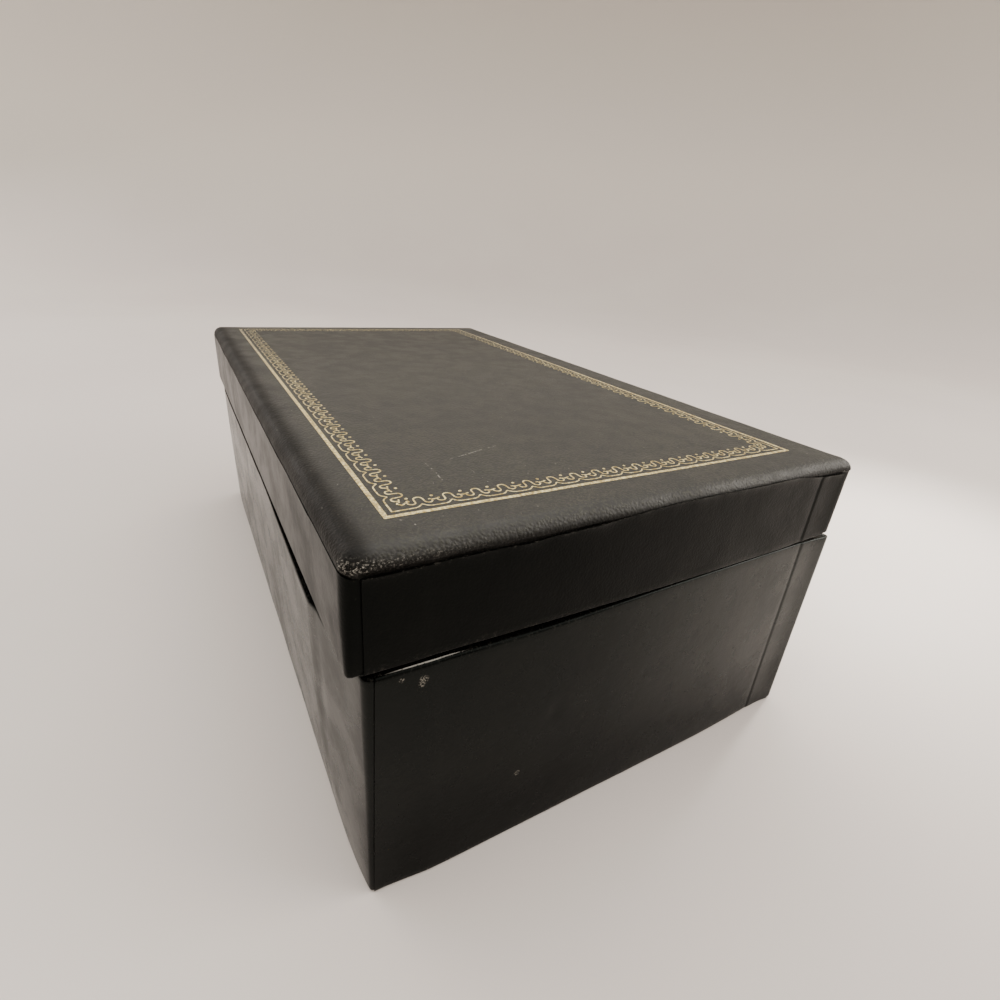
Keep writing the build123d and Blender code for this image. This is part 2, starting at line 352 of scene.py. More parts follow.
def top_leathercloth():
    """Black leathercloth on the padded top: matt, with fine pebble grain and scratches, and painted
    shade on its rolled edges and front margin.
    """
    r = Recipe("leathercloth_top")
    grain = r.pebble(0.8)
    base = r.blend(r.blotches(34, 4.0, 0.6, 0.35, 0.68), "#2a2a24", "#313128")
    base = r.blend(r.ramp(grain, 0.35, 0.75), "#232220", base)
    base = r.blend(r.times(r.blotches(3.5, 5.0, 0.65, 0.52, 0.72), 0.3), base, "#3e3d34")
    # Painted shade: the rolled edges and a strip along the front of the top are coloured near black
    # here, and given less gloss where the shine is set below
    above_roll = r.ramp(r.axis("Z"), LID_TOP - 4.4, LID_TOP - 1.0)
    clear_of_painted_shade = r.times(above_roll, r.ramp(r.axis("Y"), LID_FRONT + 2.5, LID_FRONT + 13))
    base = r.blend(clear_of_painted_shade, "#0e0d0b", base)
    marks = r.times(r.patch((114, -30), 6.0), r.blotches(0.9, 5.0, 0.8, 0.52, 0.68), 0.3)
    for scratch in SCRATCHES:
        marks = r.math("MAXIMUM", marks, r.scratch(*scratch))
    base = r.blend(r.times(marks, 0.75), base, "#a19d94")
    base = r.blend(r.times(r.blotches(0.8, 1.0, 0.5, 0.78, 0.82), 0.6), base, "#b3afa6")
    for place, size in TOP_CHIPS:
        chip = r.times(r.patch(place, size), r.blotches(0.6, 3.0, 0.7, 0.5, 0.58))
        base = r.blend(chip, base, "#141210")
    flecks = r.ramp(r.noise(0.5, 4.0, 0.8, r.stretched((1, 0.6, 1))), 0.52, 0.66)
    r.put("Base Color", r.blend(r.times(r.wear(), flecks), base, "#b5b1a8"))
    r.put("Roughness", r.blotches(9, 3.0, 0.5, 0.3, 0.7, 0.5, 0.62))
    shine = r.times(r.ramp(r.axis("X"), -150, 60, 0.26, 0.42), r.ramp(clear_of_painted_shade, 0.0, 0.6, 0.3, 1.0))
    r.put("Specular IOR Level", shine)
    return r.relief((r.noise(6, 3.0), 0.05), (grain, 0.17), (r.noise(0.3, 2.0), 0.03))


def body_gloss(r):
    """Share of its gloss that the body keeps: less at the ends, and none on the front rim, which
    paints shade into the gap under the lid.
    """
    from_middle = r.math("ABSOLUTE", r.axis("X"))
    end = r.ramp(from_middle, 140, 146, 1.0, 0.54)
    back = r.ramp(r.axis("Y"), -25, 35, 1.0, 1.34)
    foot = r.times(r.ramp(from_middle, 144, 147, 0.0, 0.5), r.ramp(r.axis("Z"), 50, 8))
    # Painted shade: gloss is taken off the front rim so that the gap under the lid looks black
    at_front = r.ramp(r.axis("Y"), BODY_FRONT + 1, BODY_FRONT + 4, 1.0, 0.0)
    painted_gap_shade = r.times(r.ramp(r.axis("Z"), 78.3, 78.9), at_front)
    return r.times(end, back, r.rest_of(foot), r.rest_of(painted_gap_shade))


def lid_gloss(r):
    """The lid's ends are duller than its long sides."""
    return r.ramp(r.math("ABSOLUTE", r.axis("X")), 143, 147.5, 1.1, 0.5)


def side_leathercloth(name, shades, rough, gloss, kept_gloss, grain_size, grain_depth, chips=()):
    """Black leathercloth pasted on board: smoother and glossier than the top."""
    r = Recipe(name)
    grain = r.pebble(grain_size)
    base = r.blend(r.blotches(22, 4.0, 0.6, 0.35, 0.7), *shades)
    # Rubbed wear greys the cloth. Wear over 0.45 is set only along the top of the body's end rims,
    # where it is a painted highlight, greyed here and whitened below
    base = r.blend(r.times(r.wear(), r.blotches(0.9, 4.0, 0.75, 0.54, 0.64)), base, "#6f6b64")
    painted_rim_highlight = r.times(r.ramp(r.wear(), 0.45, 0.7), r.blotches(0.7, 2.0, 0.5, 0.3, 0.45))
    base = r.blend(painted_rim_highlight, base, "#c9c6bf")
    for middle, size in chips:
        chip = r.times(r.patch(middle, size, "X"), r.blotches(0.5, 3.0, 0.7, 0.5, 0.57))
        base = r.blend(chip, base, "#7a766e")
    r.put("Base Color", base)
    r.put("Roughness", r.blotches(16, 4.0, 0.62, 0.35, 0.7, rough, rough + 0.12))
    r.put("Specular IOR Level", r.times(kept_gloss(r), gloss))
    r.put("Specular Tint", "#edfff8")
    return r.relief(
        (r.noise(11, 3.0, 0.55), 0.12),
        (r.noise(2.4, 3.0, 0.6), 0.02),
        (grain, grain_depth),
        (r.noise(0.25, 2.0), 0.008),
    )


def gold_leaf():
    """Tooled gold leaf, rubbed through in places to the leathercloth, most towards the left."""
    r = Recipe("gold_leaf")
    mottle = r.noise(1.0, 4.0, 0.7)
    gold = r.blend(r.ramp(mottle, 0.4, 0.62), "#c4ad6e", "#fff3c0")
    kept = r.ramp(r.axis("X"), -150, 110, 0.44, 0.62)
    worn = r.ramp(r.math("SUBTRACT", r.noise(0.7, 5.0, 0.75), kept), 0.0, 0.07)
    r.put("Base Color", r.blend(worn, gold, "#4a463d"))
    r.put("Metallic", r.times(r.rest_of(worn), 0.75))
    r.put("Roughness", r.ramp(mottle, 0.3, 0.7, 0.36, 0.5))
    return r.relief((r.pebble(0.8), 0.05), (r.noise(0.3, 2.0), 0.01))


def lining_paper():
    """Ivory paper with fine ribs, yellowed a little in patches."""
    r = Recipe("lining_paper")
    base = r.blend(r.blotches(40, 4.0, 0.5, 0.35, 0.7), "#d8cdb2", "#e3dac3")
    foxing = r.times(r.blotches(5, 5.0, 0.7, 0.66, 0.76), 0.4)
    r.put("Base Color", r.blend(foxing, base, "#b59d72"))
    r.put("Roughness", r.blotches(12, 2.0, 0.5, 0.3, 0.7, 0.62, 0.75))
    inputs = {"Scale": 0.55, "Distortion": 0.6, "Vector": r.place}
    ribs = r.add("ShaderNodeTexWave", inputs, bands_direction="DIAGONAL").outputs["Fac"]
    return r.relief((r.noise(25), 0.08), (ribs, 0.035), (r.noise(0.3, 3.0), 0.015))


def base_paper():
    """Black paper with a pressed grain, scuffed grey where the box has stood."""
    r = Recipe("base_paper")
    scuffs = r.ramp(r.noise(3, 6.0, 0.72, r.stretched((0.25, 1, 1))), 0.56, 0.68)
    r.put("Base Color", r.blend(r.times(scuffs, 0.5), "#24221f", "#5c5852"))
    r.put("Roughness", r.blotches(9, 2.0, 0.5, 0.3, 0.7, 0.58, 0.72))
    return r.relief((r.noise(14), 0.06), (r.pebble(0.55), 0.05))


def greyboard():
    """Grey pulp board with dark and light fibres."""
    r = Recipe("greyboard")
    fibres = r.noise(0.8, 5.0, 0.75, r.stretched((0.3, 1, 1)))
    r.put("Base Color", r.blend(r.ramp(fibres, 0.4, 0.65), "#8f8a7e", "#b3aea1"))
    r.put("Roughness", r.blotches(4, 2.0, 0.5, 0.3, 0.7, 0.8, 0.92))
    return r.relief((fibres, 0.06))


def hinge_cloth():
    """Black book cloth in a plain weave, grey along the fold."""
    r = Recipe("hinge_cloth")
    thread = 0.55
    waves = [r.math("SINE", r.times(r.axis(way), 2 * math.pi / thread)) for way in ("X", "Z")]
    weave = r.math("ADD", r.times(*waves), 1.0)
    base = r.blend(r.ramp(weave, 0.3, 1.6), "#080807", "#141311")
    rubbed = r.times(r.wear(), r.blotches(2, 4.0, 0.7, 0.42, 0.64))
    r.put("Base Color", r.blend(rubbed, base, "#302d29"))
    r.put("Roughness", r.blotches(7, 2.0, 0.5, 0.3, 0.7, 0.6, 0.74))
    r.put("Specular IOR Level", 0.2)
    return r.relief((r.noise(9), 0.06), (weave, 0.02))


def floor_finish():
    """The light tent's pale floor."""
    r = Recipe("pale_floor")
    low = r.blend(r.blotches(400, 2.0, 0.5, 0.3, 0.7), "#d9d0cb", "#ded6d0")
    r.put("Base Color", r.blend(r.ramp(r.axis("Z"), 10, 500), low, "#f0e8de"))
    r.put("Roughness", r.blotches(60, 2.0, 0.5, 0.3, 0.7, 0.55, 0.62))
    return r.relief((r.noise(2.0, 2.0), 0.01))


# Mesh helpers

def new_piece(name, vertices, faces, material, body, wear=None, sharp=50):
    """A mesh piece from points in millimetres, smooth but for edges over the sharp angle."""
    mesh = bpy.data.meshes.new(name)
    mesh.from_pydata([tuple(v * MM for v in p) for p in vertices], [], faces)
    if wear is not None:
        layer = mesh.attributes.new("wear", "FLOAT", "POINT")
        layer.data.foreach_set("value", np.array(wear, np.float32))
    work = bmesh.new()
    work.from_mesh(mesh)
    bmesh.ops.remove_doubles(work, verts=work.verts, dist=1e-6)
    bmesh.ops.recalc_face_normals(work, faces=work.faces)
    work.to_mesh(mesh)
    work.free()
    mesh.shade_smooth()
    if sharp:
        mesh.set_sharp_from_angle(angle=math.radians(sharp))
    mesh.materials.append(material)
    piece = link_object(name, mesh)
    if body:
        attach(piece, body)
    return piece


def shell(name, outer, inner, wear, material, slot, body):
    """A closed sheet between an outer and an inner grid of points."""
    count, rows = outer.shape[:2]
    vertices = np.concatenate([outer.reshape(-1, 3), inner.reshape(-1, 3)])
    shift = count * rows

    def at(i, j):
        return i * rows + j

    faces = []
    for i in range(count - 1):
        for j in range(rows - 1):
            quad = [at(i, j), at(i + 1, j), at(i + 1, j + 1), at(i, j + 1)]
            faces.append(quad)
            faces.append([shift + k for k in quad[::-1]])
        for j in (0, rows - 1):
            faces.append([at(i, j), at(i + 1, j), shift + at(i + 1, j), shift + at(i, j)])
    for j in range(rows - 1):
        for i in (0, count - 1):
            faces.append([at(i, j), at(i, j + 1), shift + at(i, j + 1), shift + at(i, j)])
    marks = np.tile(wear.reshape(-1), 2)
    return new_piece(name, vertices, faces, material, body, marks)


def divided(start, end, count):
    return [start + (end - start) * k / count for k in range(count + 1)]


def spread(start, end, step):
    """Evenly spaced numbers from start to end, about step apart."""
    return divided(start, end, max(1, round(abs(end - start) / step)))


def arc(centre, radius, first, last, count):
    """Points round an arc, by angles in degrees."""
    turns = [math.radians(angle) for angle in divided(first, last, count)]
    return [(centre[0] + radius * math.cos(a), centre[1] + radius * math.sin(a)) for a in turns]


# The two halves

(_, BODY_FRONT, BODY_FOOT), (BODY_END, _, BODY_RIM) = box_mm("front_cover")
(_, LID_FRONT, LID_RIM), (LID_END, _, LID_SKIRT) = box_mm("lid_front_cover")
BODY_BACK = box_mm("back_cover")[1][1]
LID_BACK = box_mm("lid_back_cover")[1][1]
LID_TOP = box_mm("lid_top_cover")[1][2]


def body_front_corner(z):
    return BODY_CORNER - 1.5 * smooth_step(BODY_RIM - z, 0, BODY_RIM)


def lid_front_corner(z):
    return LID_CORNER - 0.6 - 1.9 * smooth_step(LID_SKIRT - z, 6, 26)


# What the covers of a half share: how far out they reach, their corners' radius and the sharper
# ones it is brought to, and how far the end panels' front edges lean
Half = namedtuple("Half", "body end front back corner front_corner back_corner lean")
BODY = Half(
    "body", BODY_END, BODY_FRONT, BODY_BACK, BODY_CORNER, body_front_corner, BODY_BACK_CORNER, 1.7
)
LID = Half(
    "lid", LID_END, LID_FRONT, LID_BACK, LID_CORNER, lid_front_corner, LID_BACK_CORNER, 0.0
)


def body_rim(y):
    """The body's rim is pressed down at the front and stands full height at the back."""
    return BODY_RIM - 1.6 - 0.75 * bell(y, -38, 26) + 1.75 * smooth_step(y, -32, BODY_BACK)


def body_roll(y):
    """How round the rim's outer edge is: well worn at the front."""
    return 1.3 - 0.7 * smooth_step(y, BODY_FRONT, BODY_BACK * 0.6)


def lid_rim(x, y):
    """The lid's lower edge sags in its length and curls up a little at the two back corners."""
    curl = 0.5 * bell(math.hypot(abs(x) - LID_END, y - LID_BACK), 0, 6)
    return LID_RIM - 1.25 - 1.1 * bell(y, -8, 58) + 1.1 * smooth_step(y, 56, LID_BACK) + curl


def seam_rise(y):
    """How the seam under the top cover wanders along the end panels."""
    return -0.55 + 2.1 * smooth_step(y, -48, 6) - 1.6 * smooth_step(y, 56, 80)


def square_corner(x, y, reach, back, radius, new_radius):
    """Moves a point of a rounded back corner on to a sharper one."""
    away, down = abs(x) - reach + radius, y - back + radius
    if away <= 0 or down <= 0:
        return x, y
    length = math.hypot(away, down)
    straight = radius - new_radius
    if down * radius <= straight * away:
        scale = length / away
    elif away * radius <= straight * down:
        scale = length / down
    else:
        both = straight * (away + down) / length
        root = math.sqrt(both * both - 2 * straight * straight + new_radius * new_radius)
        scale = (both + root) / radius
    return math.copysign(reach - radius + away * scale, x), back - radius + down * scale


def thick_corner(x, y, end, back):
    """The covers lie double round the back corners, so these stand out a little."""
    share = math.exp(-(((end - abs(x)) ** 2 + (back - y) ** 2) / 5.0**2))
    return x + math.copysign(0.75 * share, x), y + 1.5 * share


def leaning_end(x, y, z):
    """The body's end walls lean out towards the foot, more so away from the front corners."""
    share = smooth_step(abs(x), BODY_END - 6, BODY_END - 0.6)
    share *= smooth_step(y, -88, -64) * (1 - 0.8 * smooth_step(y, 40, BODY_BACK))
    down = clamp(1 - z / BODY_RIM, 0.0, 1.0)
    return x + math.copysign(END_LEAN * share * down**1.2, x)


def settle(grid, half, edge=None):
    """Moves a cover's points to where wear has left them, with the edge's corners sharpened."""
    for column in grid:
        for point in column:
            x, y, z = point
            if edge == "back":
                x, y = square_corner(x, y, half.end, half.back, half.corner, half.back_corner)
            elif edge == "front":
                sharper = half.front_corner(z)
                x, turned = square_corner(x, -y, half.end, -half.front, half.corner, sharper)
                y = -turned
            x, y = thick_corner(x, y, half.end, half.back)
            if half is BODY:
                x = leaning_end(x, y, z)
            point[0], point[1] = x, y


def body_rows(rim, roll, thick):
    """Inset and height down a body wall: base flap, face, over the rim and down inside.

    thick is 0 for the outer surface and the cover's thickness for the one that is pasted down.
    """
    foot = BODY_FOOT - 0.27
    under = BODY_FOOT + thick
    rows = [(BASE_TURN, under), (9.0, under), (3.8, under)]
    rows += arc((0.7, foot + 0.7), 0.7 - thick, 270, 180, 4)
    rows += [(thick, z) for z in divided(foot + 2.2, rim - 3.2, 29)]
    rows += arc((roll, rim - roll), max(roll - thick, 0.04), 180, 90, 5)
    inside = BOARD + 2 * COVER - thick
    rows += arc((inside - 0.6 + thick, rim - 0.6), 0.6 - thick, 90, 0, 3)
    rows += [(inside, rim - 4), (inside, rim - 8), (inside, rim - TURN_IN)]
    return rows


def lid_rows(rim, skirt, thick):
    """Inset and height of a lid wall, from the seam down, round the lower edge and up inside."""
    rows = [(thick, skirt - k) for k in (0, 0.4, 0.9, 1.8)]
    rows += [(thick, z) for z in divided(skirt - 3.2, rim + 2.6, 9)]
    rows += arc((0.75, rim + 0.75), 0.75 - thick, 180, 270, 4)
    inside = BOARD + 2 * COVER - thick
    rows += arc((inside - 0.6 + thick, rim + 0.6), 0.6 - thick, 270, 360, 3)
    rows += [(inside, rim + 4), (inside, rim + 8), (inside, rim + TURN_IN)]
    return rows


def body_wear(inset, z, rim):
    edge = bell(z, rim, 1.3) if inset < SHOWN_INSET else 0.0
    foot = bell(z, BODY_FOOT, 1.2) if inset < 3 else 0.0
    return min(1.0, 0.1 * edge + 0.3 * foot)


def lid_wear(inset, z, rim, skirt, at_seam):
    edge = bell(z, rim, 1.1) if inset < SHOWN_INSET else 0.0
    upper = at_seam * bell(z, skirt, 0.6) if inset < 1 else 0.0
    return min(1.0, 0.2 * edge + upper)


def strip_stations(half, tab):
    """Where a side strip runs: tab, corner, long side, corner and tab."""
    first, last = half.front + half.corner + 1, half.front + tab
    stations = [("tab", 1, y) for y in spread(last, first, 4)]
    stations += [("corner", 1, a) for a in spread(0, -90, 11)]
    reach = half.end - half.corner - 1
    stations += [("side", 0, x) for x in spread(reach, half.corner + 1 - half.end, 2.5)]
    stations += [("corner", -1, a) for a in spread(-90, -180, 11)]
    stations += [("tab", -1, y) for y in spread(first, last, 4)]
    return stations


def strip_point(half, station, inset):
    """A point in plan on a front strip, and the way out from the board there."""
    kind, side, value = station
    if kind == "tab":
        return side * (half.end - inset), value, side, 0.0
    if kind == "side":
        reach = half.end - max(inset, half.corner)
        return clamp(value, -reach, reach), half.front + inset, 0.0, -1.0
    turn = math.radians(value)
    out_x, out_y = math.cos(turn), math.sin(turn)
    left, past = max(half.corner - inset, 0.0), max(inset - half.corner, 0.0)
    x = side * (half.end - half.corner) + out_x * left - side * past
    y = half.front + half.corner + out_y * left + past
    return x, y, out_x, out_y


# How the walls have moved

def body_front_bulge(x, z):
    """The front wall stands out under the lid and falls back from a crease to its right corner."""
    height = clamp(z / BODY_RIM, 0.0, 1.0)
    crease = 106 + 6 * height + 0.5 * math.sin(z / 9)
    at_rim = RIM_OUT + RIM_OUT_MORE * smooth_step(min(x, crease), 20, 110)
    out = FOOT_OUT + (at_rim - FOOT_OUT) * height + 0.3 * math.sin(math.pi * height)
    if x > crease:
        share = min((x - crease) / (BODY_END - crease), 1.0)
        high_up = smooth_step(z, 0, 45)
        out *= (1 - high_up) * (1 - share**4) + high_up * (1 - share) ** 1.1
        out -= 0.5 * bell(x, crease + 4, 3.2) * smooth_step(z, 5, 25)
    out *= 1 - 0.35 * smooth_step(-x, 120, BODY_END)
    return out + 0.1 * wobble(x, 0, z, 26, 1)


def body_back_bulge(x, z):
    bow = 0.3 * math.sin(math.pi * clamp(z / 85, 0, 1)) * (1 - (x / 150) ** 2)
    return bow + 0.08 * wobble(x, 5, z, 28, 2)


def lid_front_bulge(x, z):
    height = (z - LID_RIM) / (LID_SKIRT - LID_RIM)
    return 0.18 * math.sin(math.pi * clamp(height, 0, 1)) + 0.07 * wobble(x, 0, z, 22, 3)


def lid_edge_lift(s, seed):
    """How far the side cover's upper edge stands off along the seam."""
    return 0.18 + 0.3 * max(0.0, wobble(s, 0, 0, 13, seed)) + 0.16 * wobble(s, 3, 0, 4.5, seed)


def lid_edge_height(s, seed):
    """The side cover's upper edge was cut by hand."""
    return 0.4 * wobble(s, 0, 9, 17, seed + 1) + 0.2 * wobble(s, 0, 9, 5, seed + 2)


def body_end_swell(y, z):
    """Soft hollows and dents in the body's end panels."""
    bow = 0.25 * math.sin(math.pi * clamp(z / 82, 0, 1)) * bell(y, 0, 70)
    dent = -0.25 * bell(y, -30, 2.2) * bell(z, 46, 2.0)
    return bow + dent + 0.07 * wobble(0, y, z, 22, 7)


def lid_end_swell(y, z):
    return 0.08 * wobble(0, y, z, 20, 8)


# The covers

def body_column(station, at_back, thick):
    """Points of a body side cover at a station, each with its wear."""
    start_y = strip_point(BODY, station, 0)[1]
    y_real = BODY_FRONT + BODY_BACK - start_y if at_back else start_y
    rim, roll = body_rim(y_real), body_roll(y_real)
    kind, _, along = station
    if kind == "side" and not at_back:
        rim += 0.4 * smooth_step(105 - along, 0, 105) * smooth_step(along, -146, -120)
    column = []
    for inset, z in body_rows(rim, roll, thick):
        if kind == "tab":
            inset, z = min(inset, 0.4 + thick * 0.2), clamp(z, 1.2, rim - 1.0)
        x, y, out_x, out_y = strip_point(BODY, station, inset)
        amount = 0.0
        if kind != "tab" and not thick and inset < 3.4:
            if at_back:
                fade = smooth_step(z, 0, 8) * smooth_step(rim - z, -0.5, 5)
                amount = body_back_bulge(x, z) * fade * abs(out_y) ** 3
            else:
                turned_in = clamp((inset - 0.9) / 2.5, 0.0, 1.0)
                amount = body_front_bulge(x, z) * (1 - turned_in) * abs(out_y) ** 3
        column.append((x + out_x * amount, y + out_y * amount, z, body_wear(inset, z, rim)))
    return column


def lid_column(station, at_back, thick):
    """Points of a lid side cover at a station, each with its wear."""
    start_x, start_y, _, facing = strip_point(LID, station, 0)
    y_real = LID_FRONT + LID_BACK - start_y if at_back else start_y
    seed = 5 if at_back else 4
    facing_front = 0.0 if at_back else abs(facing) ** 2
    along = start_x + (start_y - LID_FRONT) * math.copysign(1, start_x)
    rim = lid_rim(start_x, y_real)
    skirt = LID_SKIRT + lid_edge_height(along, seed) + seam_rise(y_real) + 1.1 * facing_front
    lift = 0.08 if station[0] == "corner" else lid_edge_lift(along, seed)
    lift *= 1 - 0.6 * facing_front
    column = []
    for inset, z in lid_rows(rim, skirt, thick):
        if station[0] == "tab":
            inset, z = min(inset, 0.4 + thick * 0.2), clamp(z, rim + 1.0, skirt - 0.5)
        x, y, out_x, out_y = strip_point(LID, station, inset)
        amount = 0.0
        if station[0] != "tab" and inset <= COVER:
            amount = lift * math.exp(-max(skirt - z, 0) / 1.6)
            if not thick:
                bulge = lid_front_bulge(x, z) * abs(out_y) ** 3
                amount += bulge * smooth_step(z, rim, rim + 5)
        mark = lid_wear(inset, z, rim, skirt, 0.12)
        column.append((x + out_x * amount, y + out_y * amount, z, mark))
    return column


def side_cover(name, half, at_back, column_at, material):
    """A long side cover with its corners, tabs and turn-ins."""
    stations = strip_stations(half, BACK_TAB if at_back else CORNER_TAB)
    grids, wear = [], []
    for thick in (0.0, COVER):
        columns = np.array([column_at(station, at_back, thick) for station in stations])
        grid = columns[..., :3]
        if at_back:
            grid[..., 1] = half.front + half.back - grid[..., 1]
        settle(grid, half, "back" if at_back else "front")
        grids.append(grid)
        wear.append(columns[..., 3])
    return shell(name, *grids, wear[0], material, "leathercloth", half.body)


def tab_step(y, front, back):
    """How a panel stands out over the tabs beneath it: softly at the front, sharply at the back."""
    near = 1 - smooth_step(y, front + CORNER_TAB - 1.2, front + CORNER_TAB + 3.0)
    far = smooth_step(y, back - BACK_TAB - 1.2, back - BACK_TAB + 0.5)
    groove = 0.14 * bell(y, back - BACK_TAB - 1.1, 0.8)
    return COVER * (0.66 + 0.34 * max(near, far) - groove)


def panel_lines(first, last, back):
    """Where a panel's grid lines run: close at its edges and where it steps over the back tab."""
    step = back - BACK_TAB
    close = [step + k for k in (-1.5, -1.2, -0.9, -0.6, -0.3, 0.0, 0.3, 0.6, 1.1)]
    even = spread(first + 1.2, last - 1.2, 1.6)
    far_apart = [y for y in even if not step - 1.9 < y < step + 1.6]
    return sorted([first, first + 0.5, *far_apart, *close, last - 0.5, last])


def panel_grid(half, thick, rows_at, swell):
    """The points of a right end panel over the tabs, rim and turn-in, and their wear, which on the
    body's panels also holds a painted highlight along the rim.
    """
    first, last = half.front + half.corner + PANEL_MARGIN, half.back - half.corner - PANEL_MARGIN
    columns = []
    for y in panel_lines(first, last, half.back):
        column = []
        step = tab_step(y, half.front, half.back)
        for inset, z, mark in rows_at(y, thick):
            y_here = y - half.lean * (1 - z / BODY_RIM) * max(0.0, 1 - (y - first) / 14)
            if inset > COVER:
                side = BOARD + COVER if inset <= BOARD + COVER else BOARD + 2 * COVER
                low, high = half.front + side, half.back - side
                y_here = low + (y - first) * (high - low) / (last - first)
                if z < BODY_RIM / 2:
                    y_here = clamp(y, half.front + inset, half.back - inset)
            raised = step if inset < 2.0 else 0.0
            amount = 0.0 if thick else swell(y, z) * (inset < 1.2)
            column.append((half.end - inset + raised + amount, y_here, z, mark))
        columns.append(column)
    columns = np.array(columns)
    return columns[..., :3], columns[..., 3]


def body_end_rows(y, thick):
    rim = body_rim(y)
    rows = []
    for inset, z in body_rows(rim, max(body_roll(y), 0.62), thick):
        # Painted highlight: a thin line along the top of the rim's roll near the front gets a high
        # wear value, which the material paints light
        painted_rim_highlight = bell(y, -72, 13) if 0.7 < inset < 1.1 and z > rim - 0.4 else 0.0
        rows.append((inset, z, max(painted_rim_highlight, body_wear(inset, z, rim))))
    return rows


def lid_end_rows(y, thick):
    rim = lid_rim(LID_END, y)
    skirt = LID_SKIRT + lid_edge_height(y, 6) + seam_rise(y)
    rows = []
    for inset, z in lid_rows(rim, skirt, thick):
        lift = 0.0
        if inset <= COVER:
            lift = 1.7 * lid_edge_lift(y, 6) * math.exp(-max(skirt - z, 0) / 1.3)
        rows.append((inset - lift, z, lid_wear(inset, z, rim, skirt, 0.2)))
    return rows


def end_panels(prefix, half, rows_at, swell, material):
    """The right panel and its mirror image on the left."""
    outer, wear = panel_grid(half, 0.0, rows_at, swell)
    inner, _ = panel_grid(half, COVER, rows_at, swell)
    for grid in (outer, inner):
        settle(grid, half)
    pieces = []
    for side, flip in (("right", 1), ("left", -1)):
        grids = [grid * np.array([flip, 1, 1]) for grid in (outer, inner)]
        name = f"{prefix}{side}_panel"
        pieces.append(shell(name, *grids, wear, material, "leathercloth", half.body))
    return pieces


def wall_board(name, material):
    """A body wall's greyboard, its top edge worn round under the rim."""
    low, high = box_mm(name)
    along_x = high[0] - low[0] > high[1] - low[1]
    axis = 0 if along_x else 1
    vertices, count = [], 0
    short = 1.6 if along_x else 0.0
    for place in spread(low[axis] + short, high[axis] - short, 12):
        y_real = (low[1] + high[1]) / 2 if along_x else place
        rim, roll = body_rim(y_real), body_roll(y_real)
        section = [(COVER, low[2])]
        section += arc((roll, rim - roll), max(roll - COVER, 0.05), 180, 90, 4)
        section += [(COVER + BOARD, rim - COVER), (COVER + BOARD, low[2])]
        count = len(section)
        for inset, z in section:
            if along_x:
                y = BODY_FRONT + inset if high[1] < 0 else BODY_BACK - inset
                vertices.append((place, y, z))
            else:
                vertices.append((math.copysign(BODY_END - inset, high[0]), place, z))
    last = len(vertices) - count
    faces = [list(range(count)), list(range(last, last + count))]
    for start in range(0, last, count):
        for k in range(count):
            n = (k + 1) % count
            faces.append([start + k, start + n, start + count + n, start + count + k])
    worn = f"worn_{name}"
    piece = new_piece(worn, vertices, faces, material, "body", sharp=30)
    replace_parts(piece, name)


# The padded top

def rounded(point, low, high, radius):
    """A point of a block moved onto the same block with its edges rounded."""
    inner = [clamp(p, a + radius, b - radius) for p, a, b in zip(point, low, high)]
    away = Vector(point) - Vector(inner)
    if away.length < 1e-9:
        return Vector(point)
    return Vector(inner) + away.normalized() * radius


def edge_lines(low, high, step):
    """Grid lines that crowd together where the surface rolls over."""
    fine = [0.0, 0.45, 0.9, 1.4, 2.0, 2.6, 3.3, 4.1, 5.0, 6.2, 8.0]
    near = [low + f for f in fine]
    far = [high - f for f in fine[::-1]]
    return near + spread(near[-1], far[0], step)[1:-1] + far


def swell_by_cloth(piece, pinned):
    """Blows the sheet up a little with cloth pressure, keeps its edge, and caps the movement."""
    group = piece.vertex_groups.new(name="pinned")
    group.add(pinned, 1.0, "REPLACE")
    rest = np.array([v.co for v in piece.data.vertices])
    cloth = piece.modifiers.new("Swell", "CLOTH")
    cloth.settings.quality = 6
    cloth.settings.mass = 0.3
    cloth.settings.tension_stiffness = 12
    cloth.settings.compression_stiffness = 12
    cloth.settings.bending_stiffness = 0.6
    cloth.settings.use_pressure = True
    cloth.settings.uniform_pressure_force = 4.0
    cloth.settings.vertex_group_mass = "pinned"
    cloth.settings.effector_weights.gravity = 0
    scene = bpy.context.scene
    for number in range(1, 21):
        scene.frame_set(number)
    shown = piece.evaluated_get(bpy.context.evaluated_depsgraph_get())
    blown = np.array([v.co for v in shown.data.vertices])
    piece.modifiers.remove(cloth)
    scene.frame_set(1)
    moved = blown - rest
    longest = float(np.linalg.norm(moved, axis=1).max())
    print(f"cloth swell moved the top by up to {longest / MM:.2f} mm before the cap")
    if longest > 0:
        moved *= min(1.0, SWELL_CAP * MM / longest)
    for vertex, place in zip(piece.data.vertices, rest + moved):
        vertex.co = place


